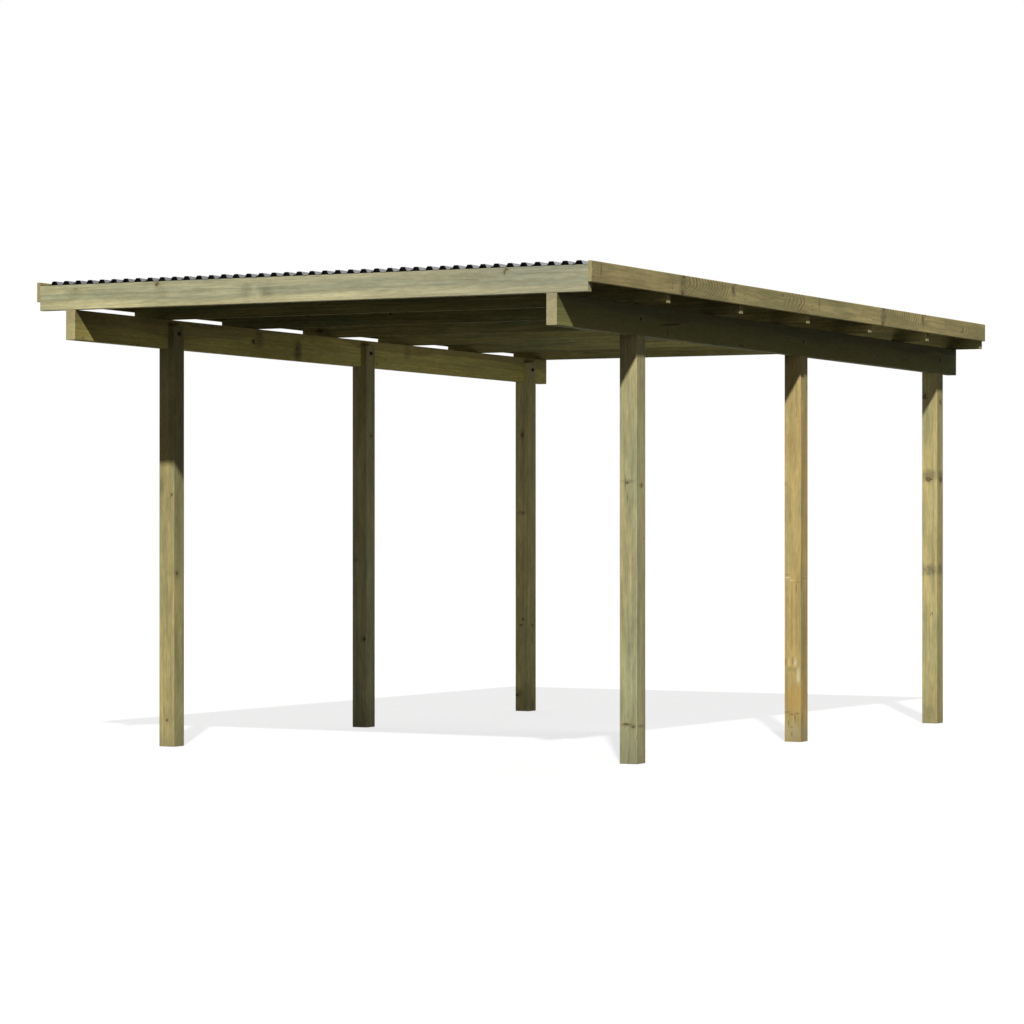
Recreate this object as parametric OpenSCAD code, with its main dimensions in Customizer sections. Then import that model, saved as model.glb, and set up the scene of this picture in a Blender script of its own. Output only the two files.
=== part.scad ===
// Timber carport: posts with notched heads carry two beams, purlins lie across
// the beams, and trapezoid sheets cover the purlins between two barge boards.
// Millimetres, +Z up, +Y to the rear, origin on the ground under the middle of the roof.

/* [Roof] */
// Length of the purlins, across the carport
purlin_len = 3000; // [2400:10:3600]
// Length of the roof from front to rear, along its fall
roof_len = 4800; // [3600:10:6000]
// Angle by which the roof falls to the rear, degrees
roof_fall = 0.6; // [0:0.1:2]
// Height of the front purlin's top edge above the ground
front_height = 2274; // [2000:1:2800]

/* [Posts] */
// Side of each square post
post_side = 90; // [75:1:120]
// Eased edge of a post
post_ease = 2.5; // [0.5:0.5:8]
// Front of the roof to the front faces of the front posts
post_front_setback = 788; // [100:1:1000]
// Rear faces of the rear posts to the rear of the roof
post_rear_setback = 202; // [100:1:1000]
// Purlin ends in to the outer faces of the posts
side_overhang = 155; // [60:1:300]
// Top of a post's cheek below the top of the beam
cheek_drop = 30; // [10:1:60]

/* [Beams] */
// Thickness of a beam, also the depth of the notch in the posts
beam_thick = 54; // [40:1:65]
// Depth of a beam from top to bottom
beam_deep = 145; // [100:1:200]

/* [Purlins] */
// Thickness of a purlin
purlin_thick = 36; // [25:1:60]
// Depth of a purlin from top to bottom
purlin_deep = 121; // [80:1:160]

/* [Barge boards] */
// Thickness of a barge board
barge_thick = 19; // [12:1:30]
// Depth of a barge board
barge_deep = 95; // [60:1:120]
// Rise of a barge board above the purlins' tops
barge_rise = 17; // [5:1:30]
// Eased edge of beams, purlins and barge boards
board_ease = 2; // [0.5:0.5:4]

/* [Roof sheets] */
// Distance between neighbouring ribs
rib_pitch = 70; // [64:1:90]
// Height of a rib
rib_height = 18; // [12:1:30]
// Width of a rib's flat top
rib_top = 22; // [12:1:28]
// Width of a rib at its foot
rib_base = 43; // [36:1:46]
// Thickness of a sheet, measured upright
sheet_thick = 1.5; // [0.8:0.1:3]
// Left ends of the purlins to the middle of the first rib
first_rib = 85; // [40:1:100]
// Gap between the sheets' edges and the barge boards
sheet_edge_gap = 4; // [2:1:12]
// Flat lip beyond a lapped rib
lap_lip = 8; // [4:1:10]

/* [Hidden] */
post_nodes = [
    ["post_front_left", "post_middle_left", "post_rear_left"],
    ["post_front_right", "post_middle_right", "post_rear_right"]
];
beam_nodes = ["beam_left", "beam_right"];
purlin_nodes = [
    "purlin_front", "purlin_2", "purlin_3", "purlin_4", "purlin_5", "purlin_6", "purlin_rear"
];
barge_nodes = [
    ["barge_board_front_left", "barge_board_rear_left"],
    ["barge_board_front_right", "barge_board_rear_right"]
];
sheet_nodes = ["roof_sheet_left", "roof_sheet_middle", "roof_sheet_right"];

post_colour = [0.62, 0.58, 0.41];
beam_colour = [0.53, 0.50, 0.34];
purlin_colour = [0.67, 0.65, 0.49];
barge_colour = [0.53, 0.49, 0.32];
sheet_colour = [0.10, 0.10, 0.11];

left = 0;
right = 1;
// A cut reaches this far past what it cuts.
past = 50;

// Heights in the roof's own tilted frame: 0 is the plane of the purlins' tops.
purlin_under = -purlin_deep;
beam_under = purlin_under - beam_deep;
cheek_top = purlin_under - cheek_drop;
rib_crown = rib_height + 2 * sheet_thick;
// Drop of the roof from front to rear, which every cut above a post also clears.
roof_drop = roof_len * sin(roof_fall);
cut_top = past + roof_drop;
roof_crown = max(barge_rise, rib_crown);

// The lowest point of the front and the highest of the rear lie equally far from the middle.
roof_front = -(roof_len * cos(roof_fall) + (roof_crown + beam_under) * sin(roof_fall)) / 2;

// The posts of one side, from front to rear.
post_rows = len(post_nodes[left]);
post_front = roof_front + post_front_setback;
post_rear = roof_front + roof_len * cos(roof_fall) - post_rear_setback - post_side;
post_spacing = (post_rear - post_front) / (post_rows - 1);
post_outer = purlin_len / 2 - side_overhang;

purlin_spacing = (roof_len - purlin_thick) / (len(purlin_nodes) - 1);

// The barge boards of one side share the roof's length, and butt over the middle purlin's end.
barge_count = len(barge_nodes[left]);
barge_len = roof_len / barge_count;

// Ribs fill the width between the barge boards, and each sheet laps the next by one rib.
sheet_count = len(sheet_nodes);
rib_room = purlin_len - sheet_edge_gap - rib_base / 2 - first_rib;
rib_count = floor(rib_room / rib_pitch) + 1;
ribs_per_sheet = ceil((rib_count + sheet_count - 1) / sheet_count);
valley = rib_pitch - rib_base;
// The lapping sheet comes down to the purlins over this width, beside the lapped lip.
lap_step = (valley - lap_lip) / 3;

function rib_x(rib) = first_rib - purlin_len / 2 + rib * rib_pitch;

function rib_outline(x, z) = [
    [x - rib_base / 2, z],
    [x - rib_top / 2, z + rib_height],
    [x + rib_top / 2, z + rib_height],
    [x + rib_base / 2, z]
];

// Underside of a sheet from its left edge to the foot of its first rib.
function sheet_start(first) = first == 0
    ? concat([[sheet_edge_gap - purlin_len / 2, 0]], rib_outline(rib_x(0), 0))
    : concat(
        [[rib_x(first) - rib_base / 2 - lap_lip, sheet_thick]],
        rib_outline(rib_x(first), sheet_thick),
        [
            [rib_x(first) + rib_base / 2 + lap_lip, sheet_thick],
            [rib_x(first) + rib_base / 2 + lap_lip + lap_step, 0]
        ]
    );

// Underside of a sheet beyond the foot of its last rib.
function sheet_end(last) = last == rib_count - 1
    ? [[purlin_len / 2 - sheet_edge_gap, 0]]
    : [[rib_x(last) + rib_base / 2 + lap_lip, 0]];

function sheet_underside(first, last) = concat(
    sheet_start(first),
    [for (rib = [first + 1 : last]) each rib_outline(rib_x(rib), 0)],
    sheet_end(last)
);

// A timber's section, its low corner at the origin, with four eased edges.
module eased_section(wide, deep, ease) {
    polygon([
        [ease, 0], [wide - ease, 0], [wide, ease], [wide, deep - ease],
        [wide - ease, deep], [ease, deep], [0, deep - ease], [0, ease]
    ]);
}

// Places its children in the roof's frame: y along the fall from the front, z square to it.
module on_roof() {
    translate([0, roof_front, front_height]) rotate([-roof_fall, 0, 0]) children();
}

// Carries a section, drawn in x and z, along the roof over a length from a start.
module along_roof(start = 0, length = roof_len) {
    translate([0, start + length, 0]) rotate([90, 0, 0]) linear_extrude(length) children();
}

// Draws its children, made for the right, on the side that is asked for.
module on_side(side) {
    if (side == right) children();
    else mirror([1, 0, 0]) children();
}

// A square post whose head is notched on the outer side: the beam stands on the
// shoulder, and the cheek that is left rises behind it.
module post(side, row) {
    on_side(side) color(post_colour) difference() {
        translate([post_outer - post_side, post_front + row * post_spacing, 0])
            linear_extrude(front_height) eased_section(post_side, post_side, post_ease);
        on_roof() translate([post_outer - beam_thick, -past, beam_under])
            cube([beam_thick + past, roof_len + 2 * past, cut_top - beam_under]);
        on_roof() translate([post_outer - post_side - past, -past, cheek_top])
            cube([post_side + 2 * past, roof_len + 2 * past, cut_top - cheek_top]);
    }
}

// A beam on edge over one row of posts, flush with their outer faces.
module beam(side) {
    on_side(side) color(beam_colour) on_roof() along_roof()
        translate([post_outer - beam_thick, beam_under])
            eased_section(beam_thick, beam_deep, board_ease);
}

// A purlin on edge across both beams.
module purlin(place) {
    color(purlin_colour) on_roof()
        translate([-purlin_len / 2, place * purlin_spacing, purlin_under])
            rotate([90, 0, 90]) linear_extrude(purlin_len)
                eased_section(purlin_thick, purlin_deep, board_ease);
}

// A thin board over the purlins' ends, standing up past the sheets' edges.
module barge_board(side, place) {
    on_side(side) color(barge_colour) on_roof() along_roof(place * barge_len, barge_len)
        translate([purlin_len / 2, barge_rise - barge_deep])
            eased_section(barge_thick, barge_deep, board_ease);
}

// A trapezoid sheet lying on the purlins, its first rib over the last of the sheet before.
module roof_sheet(place) {
    first = place * (ribs_per_sheet - 1);
    last = min(first + ribs_per_sheet - 1, rib_count - 1);
    under = sheet_underside(first, last);
    over = [for (i = [len(under) - 1 : -1 : 0]) under[i] + [0, sheet_thick]];
    color(sheet_colour) on_roof() along_roof() polygon(concat(under, over));
}

for (side = [left, right], row = [0 : post_rows - 1])
    post(side, row);
for (side = [left, right])
    beam(side);
for (place = [0 : len(purlin_nodes) - 1])
    purlin(place);
for (side = [left, right], place = [0 : barge_count - 1])
    barge_board(side, place);
for (place = [0 : sheet_count - 1])
    roof_sheet(place);
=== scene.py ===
from math import cos, pi, radians, sin
import bmesh
import bpy
import numpy as np
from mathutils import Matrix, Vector


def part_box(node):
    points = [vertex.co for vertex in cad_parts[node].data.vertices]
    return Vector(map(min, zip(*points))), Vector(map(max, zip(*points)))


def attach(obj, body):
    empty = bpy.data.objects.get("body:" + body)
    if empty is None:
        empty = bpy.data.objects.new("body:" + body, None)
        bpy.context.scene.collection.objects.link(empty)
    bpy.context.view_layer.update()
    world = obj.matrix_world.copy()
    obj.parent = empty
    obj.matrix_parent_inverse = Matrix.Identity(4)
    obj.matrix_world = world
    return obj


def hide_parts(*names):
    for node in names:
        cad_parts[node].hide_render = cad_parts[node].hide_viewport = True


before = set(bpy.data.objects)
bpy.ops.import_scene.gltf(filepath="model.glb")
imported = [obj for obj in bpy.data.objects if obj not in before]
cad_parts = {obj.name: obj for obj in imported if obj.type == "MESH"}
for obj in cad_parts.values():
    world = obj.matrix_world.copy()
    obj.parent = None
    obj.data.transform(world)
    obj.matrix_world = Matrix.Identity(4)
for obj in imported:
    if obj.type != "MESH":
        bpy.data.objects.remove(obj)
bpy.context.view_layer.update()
print("frame loaded:", len(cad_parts), "nodes")

mm = 0.001
roofFall = radians(0.6)  # the roof falls to the rear by this
fallSlope = sin(roofFall) / cos(roofFall)  # drop for each length to the rear
right = np.array([1.0, 0.0, 0.0])
upright = np.array([0.0, 0.0, 1.0])
fallAlong = np.array([0.0, cos(roofFall), -sin(roofFall)])  # front to rear, in the roof's plane
fallUp = np.array([0.0, sin(roofFall), cos(roofFall)])  # square to the roof's plane
roofAxes = np.array([right, fallAlong, fallUp])
sideSigns = {"left": -1, "right": 1}


class Wiring:
    # the nodes of a material or of the world, and short ways to add to them

    def __init__(self, owner):
        owner.use_nodes = True
        self.tree = owner.node_tree

    def feed(self, socket, value):
        if isinstance(value, bpy.types.NodeSocket):
            self.tree.links.new(value, socket)
        else:
            socket.default_value = value

    def add(self, kind, values=(), **settings):
        node = self.tree.nodes.new("ShaderNode" + kind)
        for key, value in settings.items():
            setattr(node, key, value)
        for key, value in dict(values).items():
            self.feed(node.inputs[key], value)
        return node

    def math(self, operation, *values):
        return self.add("Math", enumerate(values), operation=operation).outputs[0]

    def times(self, first, second, *added):
        return self.math("MULTIPLY_ADD" if added else "MULTIPLY", first, second, *added)

    def vector(self, operation, *values):
        node = self.add("VectorMath", enumerate(values), operation=operation)
        return node.outputs["Value" if operation in ("LENGTH", "DOT_PRODUCT") else "Vector"]

    def split(self, value):
        return self.add("SeparateXYZ", {0: value}).outputs[:]

    def join(self, *values):
        return self.add("CombineXYZ", enumerate(values)).outputs[0]

    def noise(self, place, stretch, detail=2.0, roughness=0.5):
        place = self.vector("MULTIPLY", place, stretch)
        values = {"Vector": place, "Scale": 1.0, "Detail": detail, "Roughness": roughness}
        return self.add("TexNoise", values).outputs[0]

    def remap(self, value, low, high, lowOut=0.0, highOut=1.0, kind="SMOOTHSTEP"):
        values = {"Value": value, "From Min": low, "From Max": high, "To Min": lowOut, "To Max": highOut}
        return self.add("MapRange", values, interpolation_type=kind).outputs[0]

    def ramp(self, value, stops):
        node = self.add("ValToRGB", {0: value})
        marks = node.color_ramp.elements
        while len(marks) < len(stops):
            marks.new(0.5)
        for mark, (position, colour) in zip(marks, stops):
            mark.position = position
            mark.color = (*colour, 1.0)
        return node.outputs[0]

    def mix(self, share, first, second, kind="MIX"):
        pair = [(*c, 1.0) if isinstance(c, tuple) else c for c in (first, second)]
        values = {0: share, 6: pair[0], 7: pair[1]}
        return self.add("Mix", values, data_type="RGBA", blend_type=kind).outputs[2]

    def attribute(self, name):
        return self.add("Attribute", attribute_name=name).outputs["Vector"]

    def away(self, here, centre, radii):
        # distance from a spot's centre, in shares of its radii
        return self.vector("LENGTH", self.vector("DIVIDE", self.vector("SUBTRACT", here, centre), radii))

    def spot(self, here, centre, radii, share):
        # a share about the centre that fades out at the radii
        return self.remap(self.away(here, centre, radii), 0.2, 1.0, share, 0.0)

    def weighted(self, start, tones, weights):
        # a start plus each tone times its weight
        for name, weight in weights.items():
            start = self.times(tones[name], weight, start)
        return start

    def surface(self, values, height, relief):
        # feeds the shader's own sockets, with the height as bump
        bump = self.add("Bump", {"Height": height, "Distance": relief, "Strength": 1.0})
        shader = self.tree.nodes["Principled BSDF"]
        for key, value in {**values, "Normal": bump.outputs[0]}.items():
            self.feed(shader.inputs[key], value)

    def seenDirectly(self):
        # 1 for camera, mirror and see-through rays, 0 for light that bounces
        paths = self.add("LightPath").outputs
        seen = self.math("MAXIMUM", paths["Is Camera Ray"], paths["Is Glossy Ray"])
        return self.math("MAXIMUM", seen, paths["Is Transmission Ray"])

    def blend(self, share, first, second):
        return self.add("MixShader", {0: share, 1: first, 2: second}).outputs[0]


def bandFaces(loops):
    # quads between each closed loop of point numbers and the next loop
    after = np.roll(loops, -1, axis=-1)
    corners = [loops[..., :-1, :], after[..., :-1, :], after[..., 1:, :], loops[..., 1:, :]]
    return np.stack(corners, axis=-1).reshape(-1, 4)


def putPiece(name, points, faceGroups, material, replaced=(), smoothAngle=35):
    mesh = bpy.data.meshes.new(name)
    faces = [face for group in faceGroups for face in group.tolist()]
    mesh.from_pydata(points.reshape(-1, 3).tolist(), [], faces)
    shell = bmesh.new()
    shell.from_mesh(mesh)
    bmesh.ops.recalc_face_normals(shell, faces=shell.faces)
    shell.to_mesh(mesh)
    shell.free()
    mesh.shade_smooth()
    mesh.set_sharp_from_angle(angle=radians(smoothAngle))
    mesh.materials.append(material)
    piece = bpy.data.objects.new(name, mesh)
    bpy.context.collection.objects.link(piece)
    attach(piece, "root")
    if replaced:
        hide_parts(*replaced)
    return piece


def putVectors(piece, name, vectors):
    layer = piece.data.attributes.new(name, "FLOAT_VECTOR", "POINT")
    layer.data.foreach_set("vector", np.ascontiguousarray(vectors, np.float32).ravel())


def nodeBox(node):
    return np.array(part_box(node), float)


# what all the treated pine shares; each timber below changes some of it
pine = {
    "early": (0.46, 0.41, 0.22), "late": (0.27, 0.22, 0.09),
    "green": (0.29, 0.31, 0.19), "warm": (0.47, 0.36, 0.16),
    "knot": (0.15, 0.10, 0.045), "knotRim": (0.055, 0.038, 0.018),
    "halo": (0.23, 0.19, 0.095), "smudge": (0.13, 0.12, 0.065),
    # edge: a painted highlight along the eased edges
    "edge": (0.52, 0.47, 0.27), "sawn": (0.40, 0.35, 0.19), "splash": None,
    "ringWidth": 5.0 * mm, "ringDepth": 0.55, "archDepth": 1.0, "sawnDepth": 0.6, "swells": [],
    "wander": 0.024, "quickBend": 3.5 * mm, "knotBend": 10 * mm,  # how far the rings are bent
    "streakDepth": 0.30, "blotchDepth": 0.22, "fleckDepth": 0.22, "fibreDepth": 0.22, "paintedUnderShade": 1.0,
    "greenSpan": (0.38, 0.62), "greenShare": 0.75, "warmShare": 0.25,
    "sapShare": 0.0, "sapBlur": 7 * mm, "sapGreen": 0.4,
    "haloShare": 0.40, "paintedEdgeShare": 0.15, "sawnShare": 0.35, "crackShare": 0.6, "splashShare": 0.30,
    "knotCell": (0.50, 0.95), "knotScatter": 0.6, "knotRadius": (3 * mm, 11 * mm), "knotShare": 0.30,
    "roughness": 0.74, "roughBy": {"late": -0.10, "streak": 0.08, "sawn": 0.12}, "gloss": 0.08,
    "relief": 0.6 * mm, "heightBy": {"late": 0.35, "fibre": 0.5, "crack": -1.2, "knot": 0.4},
    "patterns": {  # how often each repeats along and across the grain, per metre, then detail and roughness
        "slow": (1.1, 8, 2.0, 0.5), "quick": (8, 45, 2.0, 0.5), "fibre": (10, 900, 2.0, 0.5),
        "streak": (1.4, 75, 3.0, 0.6), "blotch": (3.5, 17, 4.0, 0.6), "fleck": (18, 130, 3.0, 0.6),
        "green": (1.6, 24, 3.0, 0.6), "warm": (0.7, 5, 1.0, 0.5),
        "seam": (0.8, 34, 1.0, 0.5), "split": (1.7, 12, 1.0, 0.5),
    },
    "lateTones": [(0.0, 0.0), (0.38, 0.08), (0.74, 1.0), (0.88, 1.0), (1.0, 0.0)],  # through one year
}


def knotsAway(w, look, grain, here, radius):
    # distance to the nearest knot in its own radii: knots are spikes from the pith, found as cells of
    # length along the log and angle round it, near enough to a grid that they stand in whorls
    farOff = 50.0  # no knot shows from here
    cellLong, cellTurn = look["knotCell"]
    along, acrossA, acrossB = w.split(grain)
    angle = w.math("ARCTAN2", acrossB, acrossA)
    cell = w.join(w.math("DIVIDE", along, cellLong), w.math("DIVIDE", angle, cellTurn), 0.0)
    values = {"Vector": cell, "Scale": 1.0, "Randomness": look["knotScatter"]}
    knots = w.add("TexVoronoi", values, voronoi_dimensions="2D").outputs
    offLong, offTurn = w.split(w.vector("SUBTRACT", cell, knots["Position"]))[:2]
    aside = w.times(w.times(offTurn, cellTurn), radius)
    reach = w.vector("LENGTH", w.join(w.times(offLong, cellLong), aside, 0.0))
    chance, size = w.split(knots["Color"])[:2]
    knotRadius = w.remap(size, 0.0, 1.0, *look["knotRadius"])
    absent = w.times(w.math("GREATER_THAN", chance, look["knotShare"]), farOff)
    away = w.math("ADD", w.math("DIVIDE", reach, knotRadius), absent)
    for centre, radii in look["knots"]:  # those that the photograph shows
        away = w.math("MINIMUM", away, w.away(here, centre, radii))
    return away


def growthRings(w, look, tones, radius, run):
    # circles about the log's pith, bent by noise, by knots and by swells along the timber; gives the
    # tone of the late wood, and where the rings show as arches
    bends = {"quick": look["quickBend"], "slow": look["wander"], "swirl": look["knotBend"]}
    bend = w.weighted(0.0, tones, bends)
    arched = 0.0
    for start, end, rise in look["swells"]:  # the rings slope here
        bend = w.math("ADD", bend, w.remap(run, start, end, 0.0, rise, "LINEAR"))
        begun = w.remap(run, start - 0.06, start + 0.02)
        over = w.remap(run, end - 0.10, end + 0.02, 1.0, 0.0)
        arched = w.math("MAXIMUM", arched, w.times(begun, over))
    ring = w.math("DIVIDE", w.math("ADD", radius, bend), look["ringWidth"])
    late = w.ramp(w.math("FRACT", ring), [(part, (tone,) * 3) for part, tone in look["lateTones"]])
    year = w.add("TexWhiteNoise", {"W": w.math("FLOOR", ring)}, noise_dimensions="1D").outputs[0]
    return w.times(late, w.remap(year, 0.0, 1.0, 0.5, 1.0)), arched


def timberFinish(name, look):
    # early and late wood in rings, then treatment, shades and tint, then marks, knots, cracks and edges
    finish = bpy.data.materials.new(name)
    w = Wiring(finish)
    grain = w.attribute("grain")  # along the log, then two places across it from the pith
    place = w.attribute("place")  # across, up and along the timber from its middle
    here = w.add("TexCoord").outputs["Object"]
    facing = w.add("NewGeometry").outputs["Normal"]
    aboveMiddle, run = w.split(place)[1:]
    radius = w.vector("LENGTH", w.vector("MULTIPLY", grain, (0, 1, 1)))

    tones = {}
    for pattern, (often, across, detail, rough) in look["patterns"].items():
        tones[pattern] = w.noise(grain, (often, across, across), detail, rough)
    for pattern in ("streak", "blotch", "fleck"):
        tones[pattern] = w.remap(tones[pattern], 0.3, 0.7)
    ragged = w.remap(w.noise(here, (70, 70, 70)), 0.25, 0.75, 0.65, 1.4)  # uneven rims of knots and marks
    away = w.times(knotsAway(w, look, grain, here, radius), ragged)
    tones["swirl"] = w.math("EXPONENT", w.times(w.math("POWER", away, 2.0), -0.16))
    tones["knot"] = w.remap(away, 0.75, 1.25, 0.85, 0.0)
    tones["late"], arched = growthRings(w, look, tones, radius, run)
    squareOn = w.math("ABSOLUTE", w.vector("DOT_PRODUCT", facing, tuple(look["axis"])))
    tones["sawn"] = w.math("GREATER_THAN", squareOn, 0.9)
    seam = w.math("ABSOLUTE", w.math("SUBTRACT", tones["seam"], 0.5))  # hairline cracks follow its zeros
    split = w.remap(tones["split"], 0.60, 0.66)
    tones["crack"] = w.times(w.remap(seam, 0.0, 0.007, 1.0, 0.0), split)

    # rings, deeper in arches and on sawn ends, then treatment
    depth = w.times(arched, look["archDepth"] - look["ringDepth"], look["ringDepth"])
    depth = w.times(tones["sawn"], look["sawnDepth"], depth)
    green = w.remap(tones["green"], *look["greenSpan"])
    early = look["early"]
    if look["sapShare"]:  # paler sapwood along the lower edge, its upper limit in long waves; on the beams the darker wood above is partly painted shade
        above = w.math("SUBTRACT", aboveMiddle, look["sapTop"])
        above = w.times(w.math("SUBTRACT", tones["slow"], 0.5), look["sapWave"], above)
        blur = look["sapBlur"]
        early = w.mix(w.remap(above, -blur, blur, look["sapShare"], 0.0), early, look["sap"])
        green = w.times(green, w.remap(above, -blur, blur, look["sapGreen"], 1.0))
    warm = w.remap(tones["warm"], 0.4, 0.7)
    colour = w.mix(w.times(tones["late"], depth), early, look["late"])
    colour = w.mix(w.times(green, look["greenShare"]), colour, look["green"])
    colour = w.mix(w.times(warm, look["warmShare"]), colour, look["warm"])

    # streaks, blotches, flecks and fibres, painted shade on undersides, then the timber's tint,
    # which holds painted light and shade in places
    shade = 1.0
    for pattern in ("streak", "blotch", "fleck", "fibre"):
        strength = look[pattern + "Depth"]
        toned = w.times(tones[pattern], strength, 1.0 - strength / 2)
        shade = w.times(shade, toned)
    if look["paintedUnderShade"] < 1.0:  # painted shade on faces that look down
        under = w.remap(w.split(facing)[2], -0.7, -0.1, look["paintedUnderShade"], 1.0)
        shade = w.times(shade, under)
    colour = w.mix(1.0, colour, w.join(shade, shade, shade), "MULTIPLY")
    colour = w.mix(1.0, colour, w.attribute("tint"), "MULTIPLY")

    # patches of another colour, smudges, knots with a halo and a dark rim, and cracks
    for centre, radii, share, tone in look["patches"]:
        patch = w.times(w.spot(here, centre, radii, share), ragged)
        colour = w.mix(patch, colour, tone)
    smudge = 0.0
    for mark in look["smudges"]:
        smudge = w.math("MAXIMUM", smudge, w.spot(here, *mark))
    colour = w.mix(w.times(smudge, ragged), colour, look["smudge"])
    colour = w.mix(w.remap(away, 0.8, 3.4, look["haloShare"], 0.0), colour, look["halo"])
    knotColour = w.ramp(away, [(0.0, look["knot"]), (0.5, look["knot"]), (0.9, look["knotRim"])])
    colour = w.mix(tones["knot"], colour, knotColour)
    colour = w.mix(w.times(tones["crack"], look["crackShare"]), colour, look["knotRim"])

    # eased edges in a painted highlight, on the inner purlins a painted shade, and sawn ends in a tone of
    # their own
    fromSide, fromTop = w.split(w.vector("SUBTRACT", look["half"], w.vector("ABSOLUTE", place)))[:2]
    edge = w.times(tones["streak"], 2 * mm, w.math("MAXIMUM", fromSide, fromTop))
    colour = w.mix(w.remap(edge, 1 * mm, 6 * mm, look["paintedEdgeShare"], 0.0), colour, look["edge"])
    colour = w.mix(w.times(tones["sawn"], look["sawnShare"]), colour, look["sawn"])
    if look["splash"]:  # soil splashed up the foot
        height = w.times(w.noise(here, (9, 9, 5)), 0.16, w.split(here)[2])
        colour = w.mix(w.remap(height, 0.06, 0.24, look["splashShare"], 0.0), colour, look["splash"])
    rough = w.weighted(look["roughness"], tones, look["roughBy"])
    values = {"Base Color": colour, "Roughness": rough, "Specular IOR Level": look["gloss"]}
    w.surface(values, w.weighted(0.0, tones, look["heightBy"]), look["relief"])
    return finish


def spotsOn(place, count, tables):
    # in each table the first numbers of a spot become its centre and radii, and the rest of it stays
    found = {}
    for kind in ("knots", "smudges", "patches"):
        found[kind] = [(*place(*spot[:count]), *spot[count:]) for spot in tables.get(kind, [])]
    return found


def easedCorners(wide, deep, ease, steps):
    # four quarter circles about a rectangle's inner corners, each with a point on the flat at either end
    ontoFlat = 1.5 * mm
    turn = np.concatenate([[0.0], np.linspace(0.0, pi / 2, steps + 1), [pi / 2]])
    turn = turn + np.arange(4)[:, None] * pi / 2
    out = np.stack([np.cos(turn), np.sin(turn)], axis=-1)
    onward = np.stack([-np.sin(turn), np.cos(turn)], axis=-1)
    flat = np.zeros(steps + 3)
    flat[0], flat[-1] = -ontoFlat, ontoFlat
    signs = np.array([[1, 1], [-1, 1], [-1, -1], [1, -1]])
    middle = signs * (np.array([wide, deep]) / 2 - ease)
    return middle[:, None, :] + out * ease + onward * flat[:, None]


def logPlace(place, log):
    # the timber's section is shifted off the pith, and the pith leans a little along the length
    rng = np.random.default_rng(log["seed"])
    lean = rng.uniform(-1, 1, 2) * log["lean"]
    start = rng.uniform(3, 40)  # metres along the pattern, so that no two timbers are alike
    length = place[..., 2]
    pithA, pithB = log["pith"]
    across = place[..., 0] * log.get("face", 1) + pithA + lean[0] * length
    up = place[..., 1] + pithB + lean[1] * length
    return np.stack([length + start, across, up], axis=-1)


def dressTimber(piece, place, log):
    # the tint runs straight from one end's to the other's, and by a share from the lower edge to the
    # upper, a painted shade under the roof; the inner half may have painted light and shade of its own
    # along the length, and sawn ends keep theirs
    length, climb = place[..., 2], place[..., 1]
    share = (length - length.min()) / np.ptp(length)
    first, last = np.array(log["tint"]), np.array(log.get("tintEnd", log["tint"]))
    tint = first + share[..., None] * (last - first)
    climb = (climb - climb.min()) / np.ptp(climb)
    tint = tint * (1 + climb[..., None] * (log.get("paintedTopShade", 1.0) - 1))
    # painted light and shade on the inner half
    inner = np.interp(share, *np.array(log.get("paintedInnerLightAndShade", [(0.0, 1.0)])).T)
    tint = np.where(place[..., :1] < 0, tint * inner[..., None], tint)
    if place.ndim == 3:
        tint[[0, -1]] = log.get("sawnTint", 1.0)
    putVectors(piece, "tint", tint)
    putVectors(piece, "grain", logPlace(place, log))
    putVectors(piece, "place", place + [0, 0, log.get("shift", 0.0)])


def crackPoints(stations, length, half, crack):
    # a narrow V along one face: its depth and width swell and fade as a half sine between two places,
    # and its way over the face climbs and wavers as a sine
    hairline, waver, wavesBy = 0.1 * mm, 2 * mm, 9
    face, begun, ended, height, climb, width, depth = crack
    start, end = begun - length / 2, ended - length / 2
    share = np.clip((stations - start) / (end - start), 0.0, 1.0)
    swell = np.sin(pi * share)
    way = height + (share - 0.5) * climb + waver * np.sin(wavesBy * share)
    wide = hairline + width / 2 * swell
    out = np.array([cos(face * pi / 2), sin(face * pi / 2)])
    onward = np.array([-out[1], out[0]])
    aside = np.stack([way - wide, way, way + wide], axis=1)
    sunk = np.stack([swell * 0, swell * depth, swell * 0], axis=1)
    return (abs(out @ half) - sunk)[..., None] * out + aside[..., None] * onward


def tiltedSides(node, lengthwise):
    # a timber's true length, width and depth from its box, which the roof's fall has widened
    spanX, spanY, spanZ = np.ptp(nodeBox(node), axis=0)
    turn = np.array([[cos(roofFall), sin(roofFall)], [sin(roofFall), cos(roofFall)]])
    alongFall, deep = np.linalg.solve(turn, [spanY, spanZ])
    return (alongFall, spanX, deep) if lengthwise else (spanX, alongFall, deep)


boards = {"ease": 2.5 * mm, "steps": 3, "trim": 1 * mm, "stations": 49}


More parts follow.
